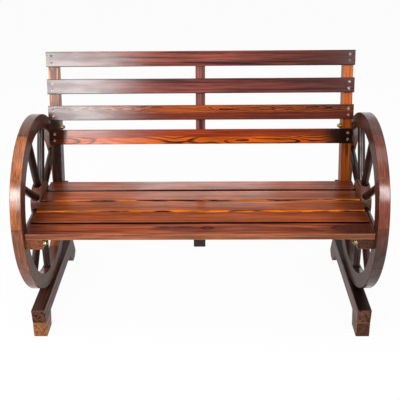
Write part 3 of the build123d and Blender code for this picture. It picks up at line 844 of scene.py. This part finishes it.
# %% [markdown]
# ## Wheels
# Rim, spokes and hub share the stain of the bench, but the turned spokes drank more of it and
# came out nearly black. The lacquer pooled on the treads, so the coat is thickest there and
# has the small dimples of a brushed surface.

# %% Wheel materials
tread_facing = (0.5, 0.9)
plank_turn = 2.1
plank_start = -2.9
figured_heights = (0.20, 0.28)
# Painted shade where a spoke sits in the hub and the rim. Dark glue joints take the same
# colour.
inner_socket_shade_width = 0.004
outer_socket_shade_width = 0.003
joint_stain_and_socket_shade = srgb(24, 13, 10)
dimples_per_metre = 170.0
pools_per_metre = 26.0
pool_range = (0.38, 0.62)
plain_wheel = dict(
    plain_fir, ring_depth=0.75, blotch_depth=0.35, rubbed=srgb(168, 110, 80), joint_depth=0.0,
    socket_shades=(0.0, 1.0), scorch_below=(0.0, 1.0, 0.0), peel=0.0, bump=plain_bump,
)


def wheel_scorch(tree, place_up, tread, look):
    """Scorch low on the tread: full below one height and none above another."""
    full_below, none_above, share = look["scorch_below"]
    low = ramp(tree, place_up, full_below, none_above, share, 0.0)
    return calc(tree, "MULTIPLY", low, tread)


def wheel_dark_lines(tree, local, joint_share, look):
    """Glue joints, and painted shade at both ends of a spoke, where it sits in the hub and the
    rim.
    """
    inner_end, outer_end = look["socket_shades"]
    inner_start = inner_end + inner_socket_shade_width
    inner_socket_shade = ramp(tree, local["Radius"], inner_end, inner_start, 1.0, 0.0)
    outer_socket_shade = ramp(tree, local["Radius"], outer_end - outer_socket_shade_width, outer_end)
    socket_shades = calc(tree, "ADD", inner_socket_shade, outer_socket_shade)
    return calc(tree, "ADD", joint_share, socket_shades, clamp=True)


def wheel_material(name, first_angle, angle_step, grain_turn, own_look):
    """Lacquered fir for pieces set round the axle, each with its own grain direction."""
    look = {**plain_wheel, **own_look}

    def build(tree):
        place = tree.nodes.new("ShaderNodeTexCoord").outputs["Object"]
        place_up = parts_of(tree, place)[2]
        local = place_group(tree, wheel_board, Place=place, First_Angle=first_angle,
                            Angle_Step=angle_step, Grain_Turn=grain_turn)
        figure = figure_of(tree, local["Board"], local["Piece"], look)
        normal = tree.nodes.new("ShaderNodeNewGeometry").outputs["Normal"]
        towards_grain = vector_calc(tree, "DOT_PRODUCT", normal, local["Grain"])
        facing = calc(tree, "ABSOLUTE", towards_grain)
        # Treads take each plank's paler tone, and side faces keep the darker heart colour,
        # which paints the shade on the rims' inner faces.
        sideways = calc(tree, "ABSOLUTE", parts_of(tree, normal)[0])
        tread = ramp(tree, sideways, *tread_facing, 1.0, 0.0)
        plank_wave = calc(tree, "MULTIPLY_ADD", local["Pair"], plank_turn, plank_start)
        tint = calc(tree, "MULTIPLY_ADD", calc(tree, "SINE", plank_wave), 0.5, 0.5)
        light_share = calc(tree, "MULTIPLY", tread, tint)
        ring_depth = look["ring_depth"]
        low_depth = look.get("low_ring_depth", ring_depth)
        out = stain_of(
            tree, figure, look, Heart=calc(tree, "SUBTRACT", 1.0, light_share),
            End_Grain=ramp(tree, facing, *end_grain_facing),
            Rub=place_group(tree, rubbed_edges, Place=place)["Rub"],
            Scorch=wheel_scorch(tree, place_up, tread, look),
            Ring_Depth=ramp(tree, place_up, *figured_heights, low_depth, ring_depth),
        )
        joint_share = calc(tree, "MULTIPLY", local["Joint"], look["joint_depth"])
        dark_share = wheel_dark_lines(tree, local, joint_share, look)
        jointed = blend(tree, dark_share, out["Colour"], joint_stain_and_socket_shade)
        height = calc(tree, "SUBTRACT", out["Height"], joint_share)
        dimples = noise(tree, scaled(tree, place, dimples_per_metre))[0]
        height = calc(tree, "MULTIPLY_ADD", dimples, look["peel"], height)
        pooled = noise(tree, scaled(tree, place, pools_per_metre), detail=3.0)[0]
        more_coat = ramp(tree, pooled, *pool_range, *look["coat"])
        coat = calc(tree, "MULTIPLY_ADD", more_coat, tread, thin_coat)
        return jointed, out["Roughness"], height, coat

    return lacquered(name, build, look["bump"])


print("wheel recipe ready")

# %% [markdown]
# ## Rims, spokes and hubs
# The two rims differ in stain: the left one is paler with wild flat-sawn figure low down, and
# the right one is redder and scorched near the ground. The rim pieces have their grain across
# the spokes, and a spoke has it pointing outwards.

# %% Wheels
first_spoke_gap = radians(2.5)
spoke_step = radians(40)
across_the_spoke = pi / 2
along_the_spoke = 0.0
rim_colours = {
    "left": dict(early=srgb(162, 90, 44), heart=srgb(94, 54, 38), late=srgb(40, 18, 11),
                 ring=0.0066, ring_depth=0.34, low_ring_depth=0.9, wander=0.050, waves=15.0),
    "right": dict(early=srgb(124, 50, 22), heart=srgb(76, 38, 24), late=srgb(30, 18, 13),
                  ring=0.0062, ring_depth=0.6, wander=0.040, waves=8.0,
                  scorch_below=(0.32, 0.43, 0.72)),
}
rim_fir = {
    side_name: wheel_material(
        f"rim_fir_{side_name}", first_rim_joint, rim_joint_step, across_the_spoke,
        dict(colours, deep=0.0, across=-0.33, slope=0.0, joint_depth=0.8,
             coat=(0.5, 0.84), peel=1.1, bump=0.9),
    )
    for side_name, colours in rim_colours.items()
}
# A spoke is painted with shade inside the first radius and beyond the second, where it enters
# the hub and the rim.
spoke_fir = wheel_material(
    "spoke_fir", first_spoke_gap, spoke_step, along_the_spoke,
    dict(early=srgb(72, 38, 26), late=srgb(24, 12, 9), heart=srgb(46, 24, 19), ring=0.004,
         deep=0.49, slope=0.0, rubbed=srgb(96, 64, 52), coat=(0.3, 0.6),
         socket_shades=(0.080, 0.224)),
)
for side_name in ("left", "right"):
    for number in range(1, 7):
        dress(f"{side_name}_rim_section_{number}", rim_fir[side_name])
    for number in range(1, 10):
        dress(f"{side_name}_spoke_{number}", spoke_fir)
    hub_look = dict(early=srgb(122, 78, 64), late=srgb(56, 32, 28), ring=0.006,
                    shift=wheel_middle, deep=0.04)
    dress(f"{side_name}_hub",
          board_material(f"hub_fir_{side_name}", first_seed["hub"], (way_back, way_up),
                         hub_look))
print("wheels dressed")

# %% [markdown]
# ## Screws, nuts and bolts
# The screws are grey steel with dull cross slots. The cap nuts are plated in yellow zinc, which
# shifts between gold and olive. Both are metals, so their colour sits in the reflection and
# the roughness does most of the work.

# %% Metals
clouds_per_metre = 160.0
grains_per_metre = 1400.0
cloud_border = (0.35, 0.65)
cloud_roughness = 0.2
worn_edge = 0.0008
worn_metal = srgb(225, 222, 214)
metal_bump = 0.15
metal_bump_distance = 0.0002


def metal_material(name, colour, second_colour, roughness):
    """Plated metal that clouds between two colours and is worn pale at its edges."""
    material = bpy.data.materials.new(name)
    material.use_nodes = True
    tree = material.node_tree
    shader = tree.nodes["Principled BSDF"]
    place = tree.nodes.new("ShaderNodeTexCoord").outputs["Object"]
    cloud = noise(tree, scaled(tree, place, clouds_per_metre), detail=3.0)[0]
    fine = noise(tree, scaled(tree, place, grains_per_metre))[0]
    rub = place_group(tree, rubbed_edges, Place=place, Reach=worn_edge)["Rub"]
    plated = blend(tree, ramp(tree, cloud, *cloud_border), colour, second_colour)
    feed(tree, shader.inputs["Base Color"], blend(tree, rub, plated, worn_metal))
    uneven = calc(tree, "MULTIPLY_ADD", cloud, cloud_roughness, roughness)
    feed(tree, shader.inputs["Roughness"], uneven)
    shader.inputs["Metallic"].default_value = 1.0
    bump = tree.nodes.new("ShaderNodeBump")
    bump.inputs["Strength"].default_value = metal_bump
    bump.inputs["Distance"].default_value = metal_bump_distance
    feed(tree, bump.inputs["Height"], fine)
    feed(tree, shader.inputs["Normal"], bump.outputs[0])
    return material


screw_steel = metal_material("screw_steel", srgb(92, 92, 96), srgb(58, 58, 64), 0.36)
yellow_zinc = metal_material("yellow_zinc", srgb(156, 130, 66), srgb(100, 86, 48), 0.34)
for name in ("back_slat_screws", "seat_slat_screws", "long_screws", "carriage_bolts",
             "nuts_and_washers"):
    dress(name, screw_steel)
dress("cap_nuts", yellow_zinc)
print("metals dressed")

# %% [markdown]
# ## Studio
# The photograph is a catalogue shot: white everywhere, no hard shadow, and long pale sheens
# where big soft boxes mirror in the lacquer. The floor and the sky show white to the camera
# and to reflections, while the light that falls on the bench is set apart from that.

# %% Floor and sky
floor_reach = 40.0
paper_grey = 0.86
glow_share = 0.95
sky_level = 0.36

floor_mesh = bpy.data.meshes.new("studio_floor")
floor_mesh.from_pydata(
    [(-floor_reach, -floor_reach, 0), (floor_reach, -floor_reach, 0),
     (floor_reach, floor_reach, 0), (-floor_reach, floor_reach, 0)],
    [], [(0, 1, 2, 3)],
)
floor = bpy.data.objects.new("studio_floor", floor_mesh)
bpy.context.scene.collection.objects.link(floor)
floor_paper = bpy.data.materials.new("floor_paper")
floor_paper.use_nodes = True
tree = floor_paper.node_tree
tree.nodes.clear()
path = tree.nodes.new("ShaderNodeLightPath").outputs
paper = tree.nodes.new("ShaderNodeBsdfDiffuse")
paper.inputs["Color"].default_value = (paper_grey, paper_grey, paper_grey, 1)
glow = tree.nodes.new("ShaderNodeEmission")
mixed = tree.nodes.new("ShaderNodeMixShader")
seen = calc(tree, "ADD", path["Is Camera Ray"], path["Is Glossy Ray"], clamp=True)
feed(tree, mixed.inputs[0], calc(tree, "MULTIPLY", seen, glow_share))
feed(tree, mixed.inputs[1], paper.outputs[0])
feed(tree, mixed.inputs[2], glow.outputs[0])
output = tree.nodes.new("ShaderNodeOutputMaterial")
feed(tree, output.inputs["Surface"], mixed.outputs[0])
floor_mesh.materials.append(floor_paper)

world = bpy.data.worlds.new("studio")
bpy.context.scene.world = world
world.use_nodes = True
tree = world.node_tree
path = tree.nodes.new("ShaderNodeLightPath").outputs
seen = calc(tree, "ADD", path["Is Camera Ray"], path["Is Transmission Ray"])
seen = calc(tree, "ADD", seen, path["Is Glossy Ray"], clamp=True)
sky_seen = calc(tree, "MULTIPLY_ADD", seen, 1.0 - sky_level, sky_level)
backdrop = tree.nodes["Background"]
backdrop.inputs["Color"].default_value = (1, 1, 1, 1)
feed(tree, backdrop.inputs["Strength"], sky_seen)
print("floor reaches", floor_reach, "m")

# %% [markdown]
# ## Lamps
# The three small boxes in front stand where the photographer's sheens say: mirrored in the
# left ends of the back boards and in the two treads. The large ones only fill.

# %% Lamps
def soft_box(name, place, target, width, height, power):
    """A rectangular area lamp aimed at a point."""
    lamp = bpy.data.lights.new(name, "AREA")
    lamp.shape = "RECTANGLE"
    lamp.size = width
    lamp.size_y = height
    lamp.energy = power
    item = bpy.data.objects.new(name, lamp)
    item.location = place
    way = Vector(target) - Vector(place)
    item.rotation_euler = way.to_track_quat("-Z", "Y").to_euler()
    item.visible_camera = False
    bpy.context.scene.collection.objects.link(item)
    print(name, power, "W")


# Each lamp has a place, a point that it is aimed at, a width, a height and its watts.
lamps = {
    "left_front_box": ((-0.76, -1.95, 1.33), (-0.4, 0.1, 0.6), 0.56, 0.58, 19),
    "left_wheel_box": ((-1.16, -1.85, 1.66), (-0.5, -0.2, 0.5), 0.3, 0.5, 13),
    "right_wheel_box": ((1.12, -1.85, 1.66), (0.5, -0.2, 0.5), 0.3, 0.6, 16),
    "left_side_box": ((-2.3, -0.9, 1.5), (-0.4, 0.0, 0.4), 1.2, 1.2, 12),
    "overhead_box": ((0.0, -0.4, 2.8), (0.0, 0.0, 0.3), 2.2, 1.2, 27),
    "behind_box": ((0.0, 2.0, 1.5), (0.0, 0.0, 0.4), 0.9, 0.7, 5),
}
for name, settings in lamps.items():
    soft_box(name, *settings)

# %% [markdown]
# ## Close the scene
# The view transform is set to Standard so that a colour shows as it was written.

# %% Finish
bpy.context.scene.view_settings.view_transform = "Standard"
